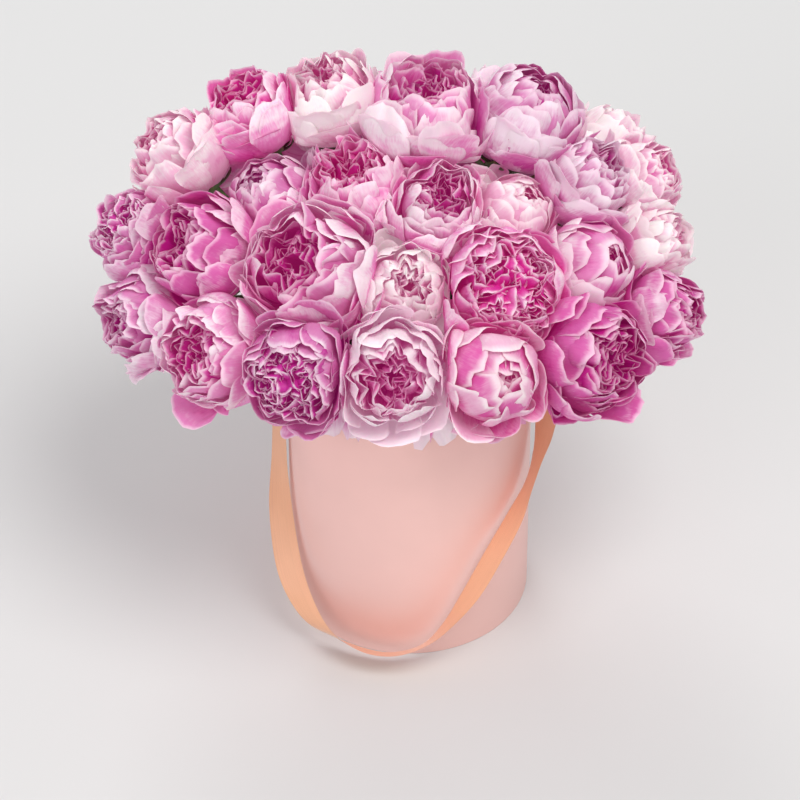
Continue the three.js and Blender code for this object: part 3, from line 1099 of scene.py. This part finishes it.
def build_wall(settings):
    """The rolled board tube in its paper wrap, with a soft rim, a turned-in band and two ribbon slots."""
    outer = BOX_RADIUS
    inner = BASE_RADIUS + BASE_FIT
    half = (outer - inner) / 2
    outline = [
        (inner, INNER_EASE),
        *arc((inner + INNER_EASE, INNER_EASE), INNER_EASE, 225, 270, 2),
        *arc((outer - OUTER_EASE, OUTER_EASE), OUTER_EASE, 270, 360, 5),
        (outer, BOX_HEIGHT * 0.25),
        (outer, BOX_HEIGHT * 0.5),
        (outer, BOX_HEIGHT * 0.75),
        *arc((outer - half, BOX_HEIGHT - half), half, 0, 180, 9),
        (inner, BOX_HEIGHT - TURN_IN),
        (inner + PAPER_STEP, BOX_HEIGHT - TURN_IN - PAPER_STEP),
        (inner + PAPER_STEP, BOX_HEIGHT / 2),
    ]
    wall = turned("box_wall_wrapped", outline, WALL_SEGMENTS)
    cut_out(wall, slot_cutter(SLOT_LENGTH, SLOT_OPENING))
    wall.data.materials.append(paper_finish("wrapped_board", settings.paper_colour))
    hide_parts("box_wall")
    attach(wall, "root")


def refinish(node, material):
    """Gives a CAD node a better material."""
    mesh = frame["nodes"][node].data
    mesh.materials.clear()
    mesh.materials.append(material)


# --- Ribbon ---


RIBBON_STEPS = 301
RIBBON_THREADS = 9


def build_ribbon(settings):
    """The limp satin handle, lofted between its two woven edges."""
    route = np.array(RIBBON_ROUTE, float)
    middles = route[:, :3] * MM
    ways = route[:, 3:] / norm(route[:, 3:], axis=1, keepdims=True)
    half = settings.width / 2
    places = np.linspace(0, len(route) - 1, RIBBON_STEPS)
    near = catmull_rom(middles - half * ways, places)
    far = catmull_rom(middles + half * ways, places)
    across = np.linspace(-1, 1, RIBBON_THREADS)[None, :, None]
    sheet = near[:, None] * (1 - across) / 2 + far[:, None] * (1 + across) / 2
    grid = Grid(*sheet.shape[:2], settings.thickness)
    centre = catmull_rom(middles, places)
    travelled = np.concatenate([[0], np.cumsum(norm(np.diff(centre, axis=0), axis=1))])
    thread = vectors(across[..., 0], travelled[:, None], 0)
    layers = {"thread": grid.both_skins(thread, thread)}
    ribbon = mesh_object("ribbon_satin", grid.thicken(sheet), grid.quads, layers, grid.border)
    ribbon.data.materials.append(satin_finish("ribbon_satin", settings.colour))
    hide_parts("ribbon_handle")
    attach(ribbon, "root")


# --- Studio ---


FLOOR_REACH = 8.0
LIT_POINT = (0, 0, 0.30)


def area_light(name, place, size, power, colour=(1, 1, 1)):
    lamp = bpy.data.lights.new(name, "AREA")
    lamp.shape = "DISK"
    lamp.size = size
    lamp.energy = power
    lamp.color = colour
    shown = bpy.data.objects.new(name, lamp)
    shown.location = place
    shown.rotation_euler = (Vector(LIT_POINT) - Vector(place)).to_track_quat("-Z", "Y").to_euler()
    bpy.context.scene.collection.objects.link(shown)


def build_studio(settings):
    scene = bpy.context.scene
    floor = mesh_object(
        "studio_floor",
        FLOOR_REACH * np.array([[-1, -1, 0], [1, -1, 0], [1, 1, 0], [-1, 1, 0]], float),
        np.array([[0, 1, 2, 3]]),
    )
    finish = Finish("studio_floor", base_color=rgba(settings.floor_colour), roughness=0.8)
    floor.data.materials.append(finish.material)
    area_light("key", (1.7, -2.0, 5.2), 3.2, settings.key_power, (1.0, 0.985, 0.97))
    area_light("fill", (-3.0, -4.8, 3.2), 4.5, 0.52 * settings.key_power, (0.97, 0.98, 1.0))
    area_light("rim", (-1.2, 4.0, 3.6), 2.4, 0.42 * settings.key_power)
    world = bpy.data.worlds.new("studio_air")
    world.use_nodes = True
    air = world.node_tree.nodes["Background"].inputs
    air["Color"].default_value = (1, 1, 1, 1)
    air["Strength"].default_value = settings.air
    scene.world = world
    scene.view_settings.view_transform = "Standard"
    camera = bpy.data.cameras.new("camera")
    camera.lens = settings.lens
    camera.sensor_width = 36.0
    camera.clip_end = 50.0
    shown = bpy.data.objects.new("camera", camera)
    aim = Vector((settings.sideways, 0, settings.aim_height))
    shown.location = (settings.sideways, -settings.distance, settings.height)
    shown.rotation_euler = (aim - shown.location).to_track_quat("-Z", "Y").to_euler()
    scene.collection.objects.link(shown)
    scene.camera = shown


# --- What a user can change ---


def length(name, description, default, **limits):
    return FloatProperty(name=name, description=description, default=default, unit="LENGTH", **limits)


def colour(name, description, default):
    return FloatVectorProperty(
        name=name, description=description, default=default, subtype="COLOR", size=3, min=0.0, max=1.0
    )


class PEONYBOX_PG_box(bpy.types.PropertyGroup):
    """The round box."""

    paper_colour: colour("Paper", "Colour of the paper wrap", (0.98, 0.62, 0.57))
    liner_colour: colour("Liner", "Colour of the waterproof liner", (0.80, 0.84, 0.84))


class PEONYBOX_PG_ribbon(bpy.types.PropertyGroup):
    """The ribbon handle."""

    width: length("Width", "Width of the ribbon", 25 * MM, min=10 * MM, max=40 * MM)
    thickness: length("Thickness", "Thickness of the ribbon", 0.4 * MM, min=0.1 * MM, max=1 * MM)
    colour: colour("Satin", "Colour of the satin", (0.92, 0.48, 0.29))


class PEONYBOX_PG_tint(bpy.types.PropertyGroup):
    """The colours of one kind of petal."""

    rim: colour("Rim", "Colour at the petals' rims", (0.93, 0.78, 0.87))
    middle: colour("Middle", "Colour over most of a petal", (0.84, 0.45, 0.68))
    deep: colour("Deep", "Colour at the petals' feet", (0.58, 0.08, 0.35))


class PEONYBOX_PG_flowers(bpy.types.PropertyGroup):
    """The cut flowers."""

    pale: PointerProperty(type=PEONYBOX_PG_tint)
    pink: PointerProperty(type=PEONYBOX_PG_tint)
    rose: PointerProperty(type=PEONYBOX_PG_tint)
    mauve: PointerProperty(type=PEONYBOX_PG_tint)
    deep: PointerProperty(type=PEONYBOX_PG_tint)
    green: colour("Green", "Colour of stems and sepals", (0.07, 0.16, 0.04))


class PEONYBOX_PG_studio(bpy.types.PropertyGroup):
    """Floor, light and camera."""

    floor_colour: colour("Floor", "Colour of the floor", (0.68, 0.68, 0.68))
    key_power: FloatProperty(name="Key light", description="Main light's power in watts", default=180.0)
    air: FloatProperty(name="Air light", description="Strength of the light from all round", default=0.50)
    lens: FloatProperty(name="Lens", description="Focal length in millimetres", default=184.75)
    sideways: length("Camera sideways", "How far right of the box's axis the camera stands", -8.6 * MM)
    distance: length("Camera distance", "How far in front of the box's axis the camera stands", 2.839)
    height: length("Camera height", "How high the camera stands", 2.601)
    aim_height: length("Aim height", "How high the point that the camera looks at is", 0.2113)


TINTS = {
    "pale": ((0.87, 0.79, 0.80), (0.78, 0.43, 0.58), (0.65, 0.09, 0.34)),
    "pink": ((0.86, 0.72, 0.78), (0.73, 0.26, 0.50), (0.56, 0.025, 0.28)),
    "rose": ((0.87, 0.70, 0.78), (0.75, 0.21, 0.48), (0.60, 0.02, 0.27)),
    "mauve": ((0.82, 0.67, 0.75), (0.63, 0.21, 0.43), (0.48, 0.02, 0.26)),
    "deep": ((0.82, 0.59, 0.70), (0.62, 0.12, 0.37), (0.49, 0.01, 0.23)),
}


# --- Operators ---


class PEONYBOX_OT_wall(bpy.types.Operator):
    """Build the wrapped wall of the box"""

    bl_idname = "peonybox.wall"
    bl_label = "Box wall"

    def execute(self, context):
        build_wall(context.scene.peonybox_box)
        return {"FINISHED"}


class PEONYBOX_OT_inside(bpy.types.Operator):
    """Finish the base, the liner, the foam and the bars that hold the ribbon"""

    bl_idname = "peonybox.inside"
    bl_label = "Base, liner, foam and bars"

    def execute(self, context):
        settings = context.scene.peonybox_box
        refinish("box_base", paper_finish("base_board", settings.paper_colour))
        refinish("liner_cup", plastic_finish("liner_plastic", settings.liner_colour, 0.35))
        refinish("foam_block", foam_finish("floral_foam"))
        bars = plastic_finish("bar_plastic", (0.87, 0.87, 0.85), 0.4)
        refinish("ribbon_stop_left", bars)
        refinish("ribbon_stop_right", bars)
        return {"FINISHED"}


class PEONYBOX_OT_flowers(bpy.types.Operator):
    """Build every bloom, and its stem and sepals"""

    bl_idname = "peonybox.flowers"
    bl_label = "Peonies"

    def execute(self, context):
        settings = context.scene.peonybox_flowers
        finishes = {}
        for tint in TINTS:
            name = f"petals_{tint}"
            finishes[name] = petal_finish(name, getattr(settings, tint))
        green = green_finish("stem_green", settings.green)
        for flower in read_flowers():
            build_bloom(flower, finishes[SLOT_OF_NODE[flower.name]])
            build_greens(flower, green)
        return {"FINISHED"}


class PEONYBOX_OT_ribbon(bpy.types.Operator):
    """Build the satin ribbon handle"""

    bl_idname = "peonybox.ribbon"
    bl_label = "Ribbon handle"

    def execute(self, context):
        build_ribbon(context.scene.peonybox_ribbon)
        return {"FINISHED"}


class PEONYBOX_OT_studio(bpy.types.Operator):
    """Build the floor, the lights and the camera"""

    bl_idname = "peonybox.studio"
    bl_label = "Studio"

    def execute(self, context):
        build_studio(context.scene.peonybox_studio)
        return {"FINISHED"}


GROUPS = {
    "peonybox_box": PEONYBOX_PG_box,
    "peonybox_ribbon": PEONYBOX_PG_ribbon,
    "peonybox_flowers": PEONYBOX_PG_flowers,
    "peonybox_studio": PEONYBOX_PG_studio,
}
OPERATORS = (
    PEONYBOX_OT_studio,
    PEONYBOX_OT_wall,
    PEONYBOX_OT_inside,
    PEONYBOX_OT_ribbon,
    PEONYBOX_OT_flowers,
)


class PEONYBOX_PT_panel(bpy.types.Panel):
    """Lists the settings and the steps in the order they are made"""

    bl_label = "Peony Box"
    bl_idname = "PEONYBOX_PT_panel"
    bl_space_type = "VIEW_3D"
    bl_region_type = "UI"
    bl_category = "Peony Box"

    def draw(self, context):
        for operator in OPERATORS:
            self.layout.operator(operator.bl_idname)
        for group in GROUPS:
            self.draw_settings(self.layout.box(), getattr(context.scene, group))

    def draw_settings(self, section, settings):
        for name in settings.__annotations__:
            value = getattr(settings, name)
            if isinstance(value, bpy.types.PropertyGroup):
                section.label(text=name.title())
                self.draw_settings(section.box(), value)
            else:
                section.prop(settings, name)


CLASSES = (PEONYBOX_PG_tint, *GROUPS.values(), *OPERATORS, PEONYBOX_PT_panel)


def register():
    for made in CLASSES:
        bpy.utils.register_class(made)
    for name, group in GROUPS.items():
        setattr(bpy.types.Scene, name, PointerProperty(type=group))


def unregister():
    for name in GROUPS:
        delattr(bpy.types.Scene, name)
    for made in reversed(CLASSES):
        bpy.utils.unregister_class(made)


def main():
    register()
    flowers = bpy.context.scene.peonybox_flowers
    for tint, colours in TINTS.items():
        group = getattr(flowers, tint)
        group.rim, group.middle, group.deep = colours
    for operator in OPERATORS:
        group, name = operator.bl_idname.split(".")
        getattr(getattr(bpy.ops, group), name)()


if __name__ == "__main__":
    main()
